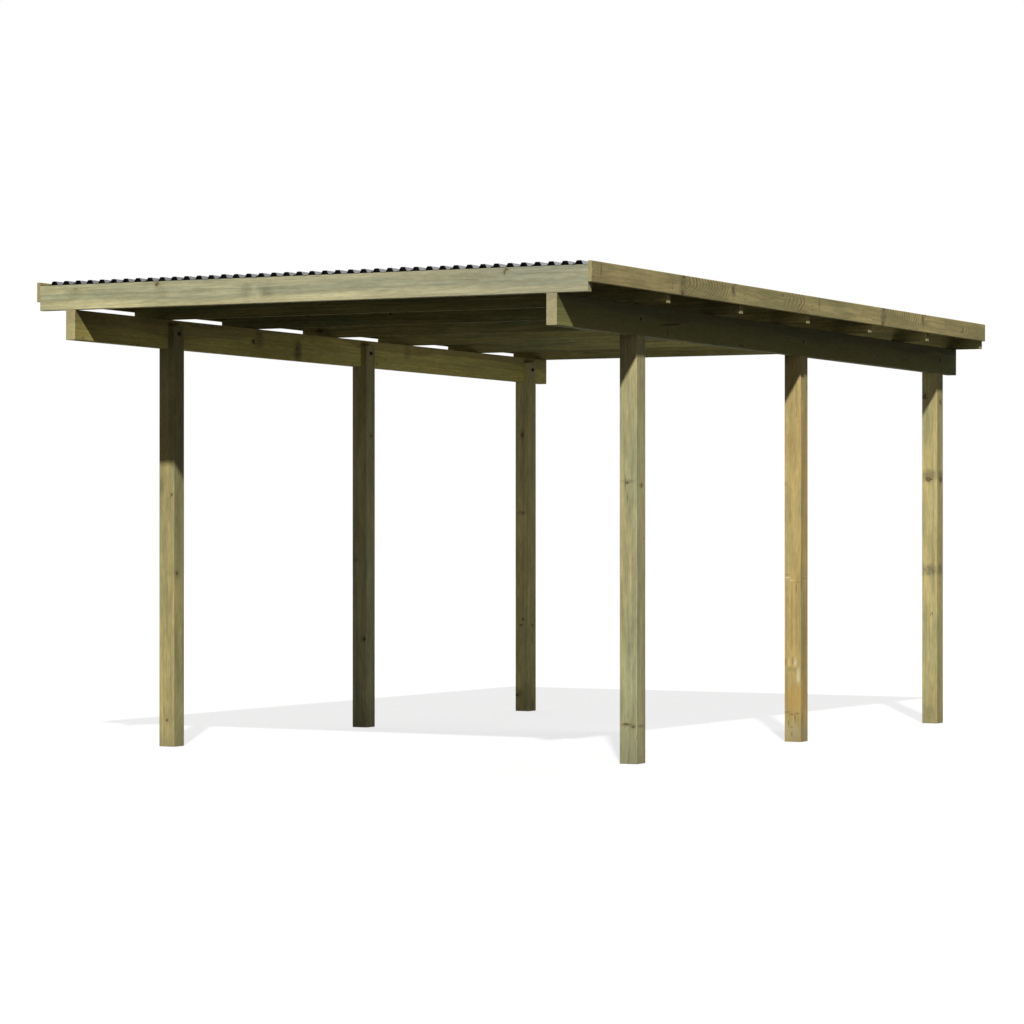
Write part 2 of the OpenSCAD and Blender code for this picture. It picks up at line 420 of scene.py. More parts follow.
def sawnTimber(node, ending, lengthwise, side, log, material):
    # an eased rectangle carried along the timber, with a slight bow and twist, its ends trimmed by a
    # small arris; lengthwise timbers run front to rear and face their own side
    length, wide, deep = tiltedSides(node, lengthwise)
    axes = np.array([fallAlong, side * right, fallUp]) if lengthwise else roofAxes
    half = np.array([wide, deep]) / 2
    trim = boards["trim"]
    inner = np.linspace(-length / 2 + trim, length / 2 - trim, boards["stations"])
    stations = np.concatenate([[-length / 2], inner, [length / 2]])
    corners = easedCorners(wide, deep, boards["ease"], boards["steps"])
    parts = []
    for face in range(4):
        for crack in log.get("cracks", []):
            if crack[0] == face:
                parts.append(crackPoints(stations, length, half, crack))
        parts.append(np.broadcast_to(corners[face], (len(stations), *corners[face].shape)))
    outline = np.concatenate(parts, axis=1)
    trimmed = np.ones((len(stations), 1, 2))
    trimmed[[0, -1]] = (half - trim) / half
    outline = outline * trimmed
    run = np.broadcast_to(stations[:, None], outline.shape[:2])
    place = np.stack([outline[..., 0], outline[..., 1], run], axis=-1)
    turn = log.get("twist", 0.0) * run / length
    bow = log.get("bow", 0.0) * (1 - (2 * run / length) ** 2)
    across = place[..., 0] * np.cos(turn) - place[..., 1] * np.sin(turn) + bow
    up = place[..., 0] * np.sin(turn) + place[..., 1] * np.cos(turn)
    points = nodeBox(node).mean(0) + np.stack([run, across, up], axis=-1) @ axes
    loops = np.arange(run.size).reshape(run.shape)
    groups = [bandFaces(loops), loops[[0, -1]]]
    piece = putPiece(f"{node}_{ending}", points, groups, material, [node])
    dressTimber(piece, place, log)


# purlins: flat-sawn boards on edge, the front one the fascia
purlins = {
    "names": [f"purlin_{place}" for place in ("front", 2, 3, 4, 5, 6, "rear")],
    "pith": [
        (0.075, 0.012), (0.09, -0.02), (0.06, 0.03), (0.10, 0.0), (0.08, -0.03), (0.07, 0.02), (0.09, 0.01),
    ],
    "bowSeed": 100, "bow": 1 * mm, "twist": radians(0.15), "grainSeed": 110, "lean": 0.014,
    "frontTint": ((1.16, 1.12, 1.02), (1.02, 1.01, 1.06)),  # left and right ends, greyer to the right
    # the inner purlins' tint is partly their own colour, partly painted light: the warm tone of the shade
    # under the roof
    "innerTint": (0.92, 0.91, 0.64),
    "paintedLightAndTone": [1.27, 0.95, 1.48, 1.56, 1.36, 1.17],  # how light each purlin behind the front one is: partly painted light under the roof, partly each board's own tone
    "spotDepth": 30 * mm,
    "knots": [  # along the front purlin, then below its top, then radii along and up, mm
        (-812, 12, 11, 8), (1088, 9, 8, 7), (1076, 22, 5, 9),
    ],
    "innerKnots": [(-1388, 83, 22, 10, "purlin_4")],  # the same, and the purlin
    "smudges": [  # the same on the front purlin, and a share
        (-1290, 24, 24, 14, 0.50), (-1290, 45, 80, 45, 0.30), (-195, 70, 60, 38, 0.42),
        (-310, 60, 45, 50, 0.28), (-790, 40, 60, 50, 0.22), (330, 60, 190, 22, 0.20),
        (900, 40, 260, 25, 0.20), (-560, 50, 170, 20, 0.18),
    ],
    "patches": [  # the same, and a colour: paler grain beside two of the smudges
        (-264, 56, 22, 34, 0.24, (0.57, 0.52, 0.30)), (-242, 84, 22, 34, 0.30, (0.57, 0.52, 0.30)),
        (-1255, 40, 40, 20, 0.40, (0.50, 0.45, 0.20)),
    ],
}
purlinSize = tiltedSides("purlin_front", False)


def onPurlin(along, drop, long, tall, node="purlin_front"):  # a spot on its front face
    low, high = nodeBox(node)
    return (along * mm, low[1], high[2] - drop * mm), (long * mm, purlins["spotDepth"], tall * mm)


purlinLook = {**pine, "axis": right, "half": (purlinSize[1] / 2, purlinSize[2] / 2, 0)}
frontFinish = timberFinish("purlin_timber_front", {
    **purlinLook, "early": (0.395, 0.38, 0.235), "late": (0.25, 0.23, 0.13), "green": (0.27, 0.285, 0.19),
    "sap": (0.46, 0.43, 0.25), "sapShare": 0.9, "sapTop": -0.018, "sapWave": 0.06, "warmShare": 0.06,
    "ringDepth": 0.40, "blotchDepth": 0.14, "knotShare": 0.0, **spotsOn(onPurlin, 4, purlins),
})
innerFinish = timberFinish("purlin_timber_inner", {
    # the dark edges and darkened undersides here are painted shade
    **purlinLook, "edge": (0.10, 0.095, 0.055), "paintedEdgeShare": 0.6, "paintedUnderShade": 0.5, "gloss": 0.014,
    **spotsOn(onPurlin, 5, {"knots": purlins["innerKnots"]}),
})
for number, node in enumerate(purlins["names"]):
    rng = np.random.default_rng(purlins["bowSeed"] + number)
    tint, tintEnd = purlins["frontTint"]
    if number:
        tint = tintEnd = np.array(purlins["innerTint"]) * purlins["paintedLightAndTone"][number - 1]
    log = {
        "seed": purlins["grainSeed"] + number, "pith": purlins["pith"][number], "lean": purlins["lean"],
        "face": -1, "tint": tint, "tintEnd": tintEnd,
        "bow": rng.uniform(-1, 1) * purlins["bow"], "twist": rng.uniform(-1, 1) * purlins["twist"],
    }
    sawnTimber(node, "board", False, 1, log, innerFinish if number else frontFinish)
print("purlins made")

# beams: deep timbers front to rear, outside face on the posts' outer faces
beams = {
    "logs": {  # tints at the front and rear ends, then of the sawn ends
        # each beam's top shade darkens it towards its top: painted shade under the roof
        "beam_left": {
            "side": -1, "seed": 210, "pith": (0.08, 0.02), "lean": 0.010, "paintedTopShade": 0.85,
            "tint": (1.24, 1.18, 0.78), "tintEnd": (1.05, 1.00, 0.66), "sawnTint": (1.06, 1.04, 0.99),
            "paintedInnerLightAndShade": [  # share of the length from the front, and how light the inner face is there: painted light, and painted shade near the front
                (0.0, 0.58), (0.02, 0.66), (0.045, 0.92), (0.09, 1.22),
                (0.16, 1.25), (0.24, 1.65), (1.0, 1.5),
            ],
            # face, from and to along the beam, then height on the face, climb, width and depth
            "cracks": [(2, 4.35, 4.72, 12 * mm, 30 * mm, 3 * mm, 9 * mm)],
        },
        "beam_right": {
            "side": 1, "seed": 211, "pith": (0.08, -0.03), "lean": 0.010, "paintedTopShade": 0.55,
            # its dark tint, darker to the rear, is partly its own darker timber, partly painted shade under
            # the barge boards
            "tint": (0.55, 0.575, 0.44), "tintEnd": (0.38, 0.405, 0.30), "sawnTint": (0.92, 0.93, 1.06),
            "cracks": [(0, 1.02, 1.30, -2 * mm, 24 * mm, 7 * mm, 14 * mm)],
        },
    },
    "spotDepth": 20 * mm,
    "knots": [  # face's place across the carport, along the beam, above its middle, radii along and up, mm
        (-1291, 4640, -20, 12, 40), (-1291, 4560, 0, 10, 30),
        (1345, 1115, -42, 7, 16), (1345, 1941, -60, 26, 6),
    ],
    "smudges": [  # the same, and a share
        (-1291, 2004, -24, 58, 90, 0.72), (-1291, 1630, 30, 60, 90, 0.50), (-1291, 3150, 30, 60, 60, 0.35),
        (-1291, 1118, 58, 330, 30, 0.45), (-1291, 640, 58, 300, 30, 0.45),
        (1345, 1160, 0, 130, 14, 0.55), (1345, 640, 0, 40, 90, 0.30), (1345, 2150, 0, 70, 90, 0.35),
    ],
}
beamSize = tiltedSides("beam_left", True)


def onBeam(across, along, rise, long, tall):  # a spot on an upright face
    middle = nodeBox("beam_left" if across < 0 else "beam_right").mean(0)
    spot = middle + fallAlong * (along * mm - beamSize[0] / 2) + fallUp * rise * mm
    return (across * mm, spot[1], spot[2]), (beams["spotDepth"], long * mm, tall * mm)


# the beams' darker wood above the paler sapwood is partly their own tone, partly painted shade under the roof
beamFinish = timberFinish("beam_timber", {
    **pine, "axis": fallAlong, "half": (beamSize[1] / 2, beamSize[2] / 2, 0), "early": (0.34, 0.29, 0.155),
    "sap": (0.48, 0.445, 0.205), "sapShare": 0.95, "sapTop": 0.020, "sapWave": 0.25, "greenShare": 0.4,
    "ringWidth": 6.5 * mm, "ringDepth": 0.40, "streakDepth": 0.18, "blotchDepth": 0.16, "knotShare": 0.10,
    "paintedUnderShade": 0.6, "gloss": 0.065, **spotsOn(onBeam, 5, beams),
})
for node, log in beams["logs"].items():
    sawnTimber(node, "timber", True, log["side"], log, beamFinish)
print("beams made")

# barge boards: thin boards over the purlins' ends, two lengths a side
barges = {
    "lengths": ["front", "rear"],
    "seeds": {"left": 310, "right": 314}, "pith": (0.11, -0.012), "lean": 0.006,
    "tints": [(0.855, 0.81, 0.815), (0.99, 0.95, 0.93), (0.97, 0.92, 0.88)],  # front, butt and rear
    "sawnTint": 0.9,
    "swells": [(0.97, 1.45, 88 * mm), (2.06, 2.36, 40 * mm)],  # from, to and rise of the rings, each length
    "shifts": {"left": (0.55, -0.35), "right": (0.0, 0.0)},  # moves the swells on each length
    "spotDepth": 30 * mm,
    "knots": [  # along each length from its front end, then above its middle, then radii along and up, mm
        (915, -36, 14, 11), (930, 40, 16, 9), (1470, 20, 9, 20), (1500, 44, 14, 5),
    ],
    "smudges": [  # the same, and a share
        (92, 10, 16, 60, 0.55), (925, 0, 62, 70, 0.62), (1480, 10, 34, 50, 0.50), (2300, -40, 120, 20, 0.30),
        (450, -20, 160, 24, 0.22), (1800, 24, 200, 18, 0.22),
    ],
}
bargeSize = tiltedSides("barge_board_front_right", True)


def onBarge(part, along, rise, long, tall):  # a spot on the right side
    off = fallAlong * (along * mm - bargeSize[0] / 2) + fallUp * rise * mm
    middle = nodeBox(f"barge_board_{part}_right").mean(0)
    return tuple(middle + off), (barges["spotDepth"], long * mm, tall * mm)


bargeSpots = {}  # both lengths have the same spots
for kind in ("knots", "smudges"):
    bargeSpots[kind] = [(part, *spot) for spot in barges[kind] for part in barges["lengths"]]
bargeFinish = timberFinish("barge_timber", {
    **pine, "axis": fallAlong, "half": (bargeSize[1] / 2, bargeSize[2] / 2, 0),
    "early": (0.48, 0.415, 0.19), "late": (0.085, 0.064, 0.024), "green": (0.28, 0.265, 0.12),
    "smudge": (0.11, 0.095, 0.05), "paintedEdgeShare": 0.20, "knotShare": 0.10,
    "ringWidth": 6.0 * mm, "ringDepth": 0.32, "wander": 0.030,
    "streakDepth": 0.16, "blotchDepth": 0.20, "fleckDepth": 0.18,
    "swells": [(a - bargeSize[0] / 2, b - bargeSize[0] / 2, rise) for a, b, rise in barges["swells"]],
    **spotsOn(onBarge, 5, bargeSpots),
})
for side, sign in sideSigns.items():
    for number, part in enumerate(barges["lengths"]):
        log = {
            "seed": barges["seeds"][side] + number, "pith": barges["pith"], "lean": barges["lean"],
            "tint": barges["tints"][number], "tintEnd": barges["tints"][number + 1],
            "sawnTint": barges["sawnTint"], "shift": barges["shifts"][side][number],
        }
        sawnTimber(f"barge_board_{part}_{side}", "board", True, sign, log, bargeFinish)
print("barge boards made")

# posts: square, heads notched on the outer side so that the beam stands on a shoulder
posts = {
    "rows": ["front", "middle", "rear"],
    "ease": 2.5 * mm, "steps": 4, "trim": 1.5 * mm, "stations": 33,
    "cheekShares": [0.5, 0.99, 1.0], "cheekDraw": 0.03,  # rings up the cheek; the last is drawn in a little
    "pithSeeds": {"left": 400, "right": 407}, "pith": 0.055, "pithSpread": 0.03, "lean": 0.008,
    "grainSeeds": {"left": 410, "right": 417}, "ownSeeds": {"middle_right": 441},
    "tints": {
        "front_left": (1.00, 0.97, 0.90), "front_right": (0.99, 1.02, 1.12),
        "middle_left": (1.02, 1.13, 1.30), "middle_right": (1.19, 1.01, 0.80),
        # rear_left's light tint is painted light: the post stands in the roof's shade
        "rear_left": (1.38, 1.38, 1.28), "rear_right": (1.07, 1.03, 0.97),
    },
    "headTints": {  # where it is another than at the foot; front_left's darker head is painted shade under the roof
        "front_left": (0.80, 0.80, 0.78), "middle_left": (1.16, 1.15, 1.06),
        "middle_right": (1.13, 1.00, 0.90),
    },
    "spotDepth": 20 * mm,
    "knots": {  # face (front 0, right 1), across it from its middle, up the post, radii across and up, mm
        "front_left": [(0, 30, 1265, 6, 9), (1, -20, 870, 9, 10), (0, 4, 133, 6, 7)],
        "middle_left": [(1, 0, 1600, 7, 9), (0, 30, 486, 7, 9)],
        "rear_left": [(0, 2, 1645, 8, 14), (0, 8, 1180, 6, 6), (0, 6, 547, 6, 6), (0, -34, 95, 13, 8)],
        "front_right": [(0, -6, 1312, 7, 5), (1, 5, 1300, 7, 6), (0, -12, 186, 12, 4), (0, 26, 172, 9, 6)],
        "rear_right": [
            (0, -6, 1366, 20, 12), (1, 10, 1365, 16, 15), (1, 6, 1800, 10, 16), (0, -28, 1830, 10, 14),
        ],
    },
    "patches": {  # the same, a share, and a colour: resin and bare wood on one post
        "middle_right": [
            (0, 0, 225, 75, 110, 0.55, (0.52, 0.33, 0.09)), (1, 0, 225, 60, 110, 0.40, (0.50, 0.33, 0.10)),
            (0, 0, 50, 70, 80, 0.60, (0.52, 0.43, 0.23)), (1, 0, 50, 60, 80, 0.50, (0.52, 0.43, 0.23)),
            (0, 32, 338, 16, 62, 0.75, (0.68, 0.63, 0.38)), (0, 16, 408, 13, 38, 0.70, (0.68, 0.63, 0.38)),
            (0, -20, 405, 9, 34, 0.60, (0.66, 0.56, 0.30)), (0, -40, 407, 12, 28, 0.90, (0.40, 0.24, 0.05)),
            (0, 0, 416, 6, 34, 0.75, (0.30, 0.22, 0.09)), (0, -6, 372, 40, 20, 0.65, (0.33, 0.27, 0.11)),
            (1, -10, 380, 40, 26, 0.50, (0.33, 0.27, 0.12)), (0, -28, 842, 20, 8, 0.65, (0.74, 0.62, 0.36)),
            (0, -4, 828, 18, 8, 0.65, (0.74, 0.62, 0.36)), (0, -30, 858, 24, 7, 0.55, (0.36, 0.22, 0.08)),
            (0, 26, 820, 24, 8, 0.60, (0.36, 0.22, 0.08)), (0, 20, 788, 5, 38, 0.95, (0.20, 0.12, 0.05)),
            (1, 0, 838, 40, 8, 0.50, (0.34, 0.21, 0.08)), (0, -30, 152, 20, 8, 0.80, (0.30, 0.18, 0.06)),
            (0, -4, 140, 22, 8, 0.80, (0.30, 0.18, 0.06)), (0, 28, 146, 18, 8, 0.80, (0.30, 0.18, 0.06)),
            (0, 14, 118, 5, 36, 0.90, (0.20, 0.12, 0.05)), (0, -22, 95, 5, 32, 0.80, (0.28, 0.17, 0.06)),
            (0, -6, 74, 16, 6, 0.70, (0.30, 0.18, 0.06)), (0, -4, 40, 5, 18, 0.90, (0.18, 0.11, 0.04)),
        ],
    },
    "smudges": {  # the same, and a share
        "front_left": [(0, -30, 1310, 24, 70, 0.35), (1, -15, 870, 40, 45, 0.30), (0, 10, 160, 50, 60, 0.15)],
        "middle_left": [(0, -30, 917, 34, 20, 0.30), (0, 20, 486, 30, 30, 0.30)],
        "rear_left": [
            (0, 2, 1645, 20, 70, 0.45), (0, -10, 1180, 45, 20, 0.30), (1, 0, 430, 8, 60, 0.60),
            (0, -20, 110, 50, 40, 0.35), (1, 0, 40, 40, 50, 0.40),
        ],
        "front_right": [
            (0, 0, 1318, 52, 14, 0.40), (1, 0, 1300, 40, 16, 0.30), (0, -14, 1310, 5, 50, 0.70),
            (0, -4, 1240, 5, 46, 0.70), (0, 0, 182, 56, 12, 0.60), (1, 0, 176, 46, 12, 0.50),
            (0, 24, 950, 14, 260, 0.25), (0, -30, 700, 10, 200, 0.20),
        ],
        "rear_right": [
            (0, 0, 1392, 64, 46, 0.60), (1, 0, 1385, 50, 50, 0.60), (0, 0, 858, 76, 50, 0.62),
            (1, 0, 862, 56, 54, 0.62), (0, 10, 60, 50, 60, 0.25),
        ],
    },
}
postSide = np.ptp(nodeBox("post_front_left"), axis=0)[0]


def onPost(name, face, across, height, wide, tall):  # a spot on a front or right face
    middle = nodeBox("post_" + name).mean(0)
    out, aside = ((0, -1), (1, 0)) if face == 0 else ((1, 0), (0, 1))
    x, y = middle[:2] + np.array(out) * postSide / 2 + np.array(aside) * across * mm
    flat = (wide * mm, posts["spotDepth"])
    return (x, y, height * mm), (*(flat if face == 0 else flat[::-1]), tall * mm)


postSpots = {}
for kind in ("knots", "smudges", "patches"):
    postSpots[kind] = [(name, *spot) for name, spots in posts[kind].items() for spot in spots]
postFinish = timberFinish("post_timber", {
    **pine, "axis": upright, "half": (postSide / 2, postSide / 2, 0), "splash": (0.13, 0.12, 0.075),
    "early": (0.45, 0.385, 0.175), "late": (0.27, 0.21, 0.08), "green": (0.30, 0.30, 0.155),
    "ringDepth": 0.30, "ringWidth": 6.0 * mm, "streakDepth": 0.20, "blotchDepth": 0.30, "knotShare": 0.07,
    **spotsOn(onPost, 6, postSpots),
})


def notchedPost(node, side, log):
    # an eased square carried upwards; at the beam's underside its outer half is closed off as a
    # shoulder and the inner half goes on as a cheek, both cut to the roof's fall
    low, high = nodeBox(node)
    beamLow, beamHigh = nodeBox("beam_left" if side < 0 else "beam_right")
    beamMiddle = (beamLow + beamHigh) / 2
    middle = (low + high) / 2
    cheekEdge = (beamLow[0] if side > 0 else -beamHigh[0]) - side * middle[0]
    corners = easedCorners(postSide, postSide, posts["ease"], posts["steps"])
    frontCut, rearCut = [[cheekEdge, -postSide / 2]], [[cheekEdge, postSide / 2]]
    outline = np.concatenate([frontCut, corners[3], corners[0], rearCut, corners[1], corners[2]])
    cutPlace = 1 + 2 * len(corners[0])
    cheekOutline = np.roll(outline, -cutPlace, axis=0)[: len(outline) - cutPlace + 1]

    def groundAt(run):
        return run * 0

    def shoulderAt(run):  # height of the beam's underside at a place along the carport
        return beamMiddle[2] - beamSize[2] / 2 / cos(roofFall) - (run - beamMiddle[1]) * fallSlope

    def cheekTopAt(run):
        return high[2] - (run - low[1]) * fallSlope

    def rings(flat, shares, base, top):  # the outline at shares of the height between two surfaces
        flat = np.broadcast_to(flat, (len(shares), *flat.shape))
        run = middle[1] + flat[..., 1]
        height = base(run) + np.array(shares)[:, None] * (top(run) - base(run))
        return np.stack([flat[..., 0], flat[..., 1], height], axis=-1)

    trim, draw = posts["trim"], posts["cheekDraw"]
    shaftShares = np.concatenate([[0.0], np.linspace(trim / 2, 1.0, posts["stations"])])
    shaft = rings(outline, shaftShares, groundAt, shoulderAt)
    shaft[0, :, :2] *= (postSide / 2 - trim) / (postSide / 2)
    cheek = rings(cheekOutline, posts["cheekShares"], shoulderAt, cheekTopAt)
    cheek[-1, :, :2] = cheek[-1, :, :2] * (1 - draw) + cheek[-1, :, :2].mean(0) * draw
    place = np.concatenate([shaft.reshape(-1, 3), cheek.reshape(-1, 3)])
    points = place * [side, 1, 1] + [middle[0], middle[1], 0]
    numbers = np.arange(len(points))
    shaftLoops = numbers[: shaft.size // 3].reshape(shaft.shape[:2])
    cheekLoops = numbers[shaft.size // 3:].reshape(cheek.shape[:2])
    neck = np.roll(shaftLoops[-1], -cutPlace)[: cheekLoops.shape[1]]
    shoulder = shaftLoops[-1:, : cutPlace + 1]
    bands = [bandFaces(shaftLoops), bandFaces(np.vstack([neck, cheekLoops]))]
    groups = bands + [shaftLoops[:1], shoulder, cheekLoops[-1:]]
    piece = putPiece(node + "_timber", points, groups, postFinish, [node])
    dressTimber(piece, place, log)


for side, sign in sideSigns.items():
    for number, row in enumerate(posts["rows"]):
        rng = np.random.default_rng(posts["pithSeeds"][side] + number)
        name = f"{row}_{side}"
        log = {
            "seed": posts["ownSeeds"].get(name, posts["grainSeeds"][side] + number), "lean": posts["lean"],
            "pith": (posts["pith"], rng.uniform(-posts["pithSpread"], posts["pithSpread"])),
            "tint": posts["tints"][name], "tintEnd": posts["headTints"].get(name, posts["tints"][name]),
        }
        notchedPost("post_" + name, sign, log)
print("posts made")

# roof sheets: trapezoid profile carried front to rear, each lapping the one before by a rib
sheets = {
    "names": ["roof_sheet_left", "roof_sheet_middle", "roof_sheet_right"],
    "ribPitch": 70 * mm, "ribHeight": 18 * mm, "ribTop": 22 * mm, "ribBase": 43 * mm,
    "thick": 1.5 * mm, "firstRib": 85 * mm, "lapLip": 8 * mm, "lapStep": 6.3 * mm, "lapPlay": 0.3 * mm,
    "bendRadius": 3 * mm, "bendSteps": 3, "sag": 1.2 * mm, "stations": 43,
    "plastic": (0.011, 0.011, 0.012), "worn": (0.020, 0.020, 0.022), "wornShare": 0.25,
    "dust": (0.060, 0.057, 0.050), "dustShare": 0.5,
    "roughBy": {"speck": 0.14, "dust": 0.25}, "heightBy": {"speck": 0.4, "drawn": 0.6}, "relief": 0.25 * mm,
    "upper": {"roughness": 0.32, "gloss": 0.12, "lacquer": 0.8},
    "under": {"roughness": 0.70, "gloss": 0.1, "lacquer": 0.0},
    "lacquerRoughness": 0.12, "lacquerIndex": 1.45,
}
purlinEnd, frontFace = nodeBox("purlin_front")[0][:2]
frontTop = nodeBox("purlin_front")[1][2]
roofLength = beamSize[0]
# middle of the front purlin's top front edge
roofCorner = np.array([0.0, frontFace + purlinSize[2] * sin(roofFall), frontTop])


def sheetFinish(side):
    # dark plastic: fine drawn lines front to rear, a little dust in streaks and on flats that face up
    look = sheets[side]
    finish = bpy.data.materials.new("roof_sheet_" + side)
    w = Wiring(finish)
    here = w.add("TexCoord").outputs["Object"]
    facing = w.split(w.add("NewGeometry").outputs["Normal"])[2]
    flow = w.noise(here, (26, 0.7, 10), 3.0, 0.6)
    speck = w.noise(here, (60, 45, 60), 4.0, 0.6)
    drawn = w.noise(here, (700, 3, 700), 1.0)
    dust = w.times(w.remap(flow, 0.42, 0.68), w.remap(facing, 0.5, 1.0))
    dust = w.times(dust, w.remap(speck, 0.30, 0.70, 0.4, 1.0))
    tones = {"speck": speck, "dust": dust, "drawn": drawn}
    colour = w.mix(w.times(dust, sheets["dustShare"]), sheets["plastic"], sheets["dust"])
    colour = w.mix(w.remap(speck, 0.35, 0.75, 0.0, sheets["wornShare"]), colour, sheets["worn"])
    w.surface({
        "Base Color": colour, "Roughness": w.weighted(look["roughness"], tones, sheets["roughBy"]),
        "Specular IOR Level": look["gloss"], "Coat Weight": look["lacquer"],
        "Coat Roughness": sheets["lacquerRoughness"], "Coat IOR": sheets["lacquerIndex"],
    }, w.weighted(0.0, tones, sheets["heightBy"]), sheets["relief"])
    return finish


def roundedLine(corners, radius, steps):
    # each inner corner turns into a parabola between points on its two sides, with a point on the flat
    # at either end
    mostReach, ontoFlat = 0.35, 1.25  # share of the shorter side, and of the reach
    corner = corners[1:-1]
    ways = np.stack([corners[:-2], corners[2:]]) - corner  # to the corner before and the one after
    lengths = np.linalg.norm(ways, axis=2, keepdims=True)
    ways = ways / lengths
    bend = np.arccos(np.clip(ways.prod(0).sum(1, keepdims=True), -1, 1))
    ways = ways * np.minimum(radius / np.tan(bend / 2), lengths.min(0) * mostReach)
    t = np.linspace(0, 1, steps + 1)[None, :, None]
    start, end = (corner + ways)[:, :, None]
    arcs = (1 - t) ** 2 * start + 2 * t * (1 - t) * corner[:, None] + t ** 2 * end
    flatBefore, flatAfter = (corner + ways * ontoFlat)[:, :, None]
    bends = np.concatenate([flatBefore, arcs, flatAfter], axis=1)
    return np.concatenate([corners[:1], bends.reshape(-1, 2), corners[-1:]])


def ribCorners(middles, lift):
    # two feet and two shoulders for each rib, one after the other
    base, top = sheets["ribBase"] / 2, sheets["ribTop"] / 2
    x = middles[:, None] + [-base, -top, top, base]
    z = np.broadcast_to(lift + np.array([0, 1, 1, 0]) * sheets["ribHeight"], x.shape)
    return np.stack([x, z], axis=-1).reshape(-1, 2)


def roofSheet(number, node, upper, lower):
    # a trapezoid line carried front to rear, sagging by a sine square between purlins; its first rib
    # laps the sheet before
    slack = 1e-6
    low, high = nodeBox(node)[:, 0]
    pitch, base = sheets["ribPitch"], sheets["ribBase"] / 2
    first = purlinEnd + sheets["firstRib"]
    firstRib = np.ceil((low + base - first) / pitch - slack)
    lastRib = np.floor((high - base - first) / pitch + slack)
    middles = first + np.arange(firstRib, lastRib + 1) * pitch
    if number == 0:
        under = [[[low, 0]], ribCorners(middles, 0.0)]
    else:
        lift = sheets["thick"] + sheets["lapPlay"]
        lap = middles[0] + base + sheets["lapLip"]
        step = [[lap, lift], [lap + sheets["lapStep"], 0]]
        under = [[[low, lift]], ribCorners(middles[:1], lift), step, ribCorners(middles[1:], 0.0)]
    under = np.concatenate([*under, [[high, 0]]])
    under = roundedLine(under, sheets["bendRadius"], sheets["bendSteps"])
    count, stations = len(under), sheets["stations"]
    outline = np.concatenate([under, under[::-1] + [0, sheets["thick"]]])
    run = np.linspace(0, roofLength, stations)[:, None]
    bays = len(purlins["names"]) - 1
    sag = sheets["sag"] * np.sin(pi * bays * run / roofLength) ** 2
    across = np.broadcast_to(outline[None, :, 0], (stations, 2 * count))
    local = np.stack([across, np.broadcast_to(run, across.shape), outline[None, :, 1] - sag], axis=-1)
    points = roofCorner + local @ roofAxes
    loops = np.arange(across.size).reshape(across.shape)
    ends = loops[[0, -1]]
    bottom, top = ends[:, :count], ends[:, :count - 1:-1]
    caps = np.stack([bottom[:, :-1], bottom[:, 1:], top[:, 1:], top[:, :-1]], axis=-1).reshape(-1, 4)
    bands = bandFaces(loops)
    piece = putPiece(node + "_profile", points, [bands, caps], upper, [node])
    piece.data.materials.append(lower)
    below = np.arange(len(bands)) % (2 * count) < count - 1
    below = np.concatenate([below, np.ones(len(caps), bool)])
    piece.data.polygons.foreach_set("material_index", below.astype(np.int32))


upperFinish, underFinish = sheetFinish("upper"), sheetFinish("under")
for number, node in enumerate(sheets["names"]):
    roofSheet(number, node, upperFinish, underFinish)
print("roof sheets made")

# bolts through the post heads, screws in the sheets and in the barge boards
fixings = {
    "shapes": {  # sides, then radius and height of each ring, mm
        "boltHead": (20, [(11, -1), (11, 0.8), (10.3, 2.4), (8.4, 4.1), (5.6, 5.2), (2.2, 5.8)]),
        "washer": (24, [(12, -0.5), (12, 1.6), (11, 2.1)]),
        "nut": (6, [(8.5, 1.6), (8.5, 8), (7.6, 9)]),
        "boltEnd": (12, [(4.5, 8), (4.5, 12), (3.6, 13)]),
        "sheetWasher": (12, [(8, -0.2), (8, 0.8), (5.5, 2.2)]),
        "sheetHead": (6, [(4.6, 2.0), (4.6, 6.0), (3.9, 6.6)]),
        "bargeHead": (12, [(3.9, -0.6), (3.9, 0.1), (3.3, 0.3), (1.9, 0.2), (1.4, -0.5)]),
    },
    "valleys": 41, "ribsPerScrew": 3, "screwRise": 24 * mm, "fromButt": 10 * mm,
    "steel": (0.050, 0.047, 0.040), "dulled": (0.016, 0.014, 0.010), "metal": 0.7, "gloss": 0.1,
    "roughness": (0.55, 0.8), "relief": 0.1 * mm,
}


def steelFinish():
    # dark steel: faint spangle in colour, dulled in patches
    finish = bpy.data.materials.new("fastener")
    w = Wiring(finish)
    here = w.add("TexCoord").outputs["Object"]
    spangle = w.split(w.add("TexVoronoi", {"Vector": here, "Scale": 700.0}).outputs["Color"])[0]
    dull = w.noise(here, (160, 160, 160), 3.0)
    patchy = w.times(spangle, 0.2, w.remap(dull, 0.35, 0.7))
    w.surface({
        "Base Color": w.mix(patchy, fixings["steel"], fixings["dulled"]),
        "Roughness": w.remap(dull, 0.3, 0.7, *fixings["roughness"]),
        "Metallic": fixings["metal"], "Specular IOR Level": fixings["gloss"],
    }, dull, fixings["relief"])
    return finish


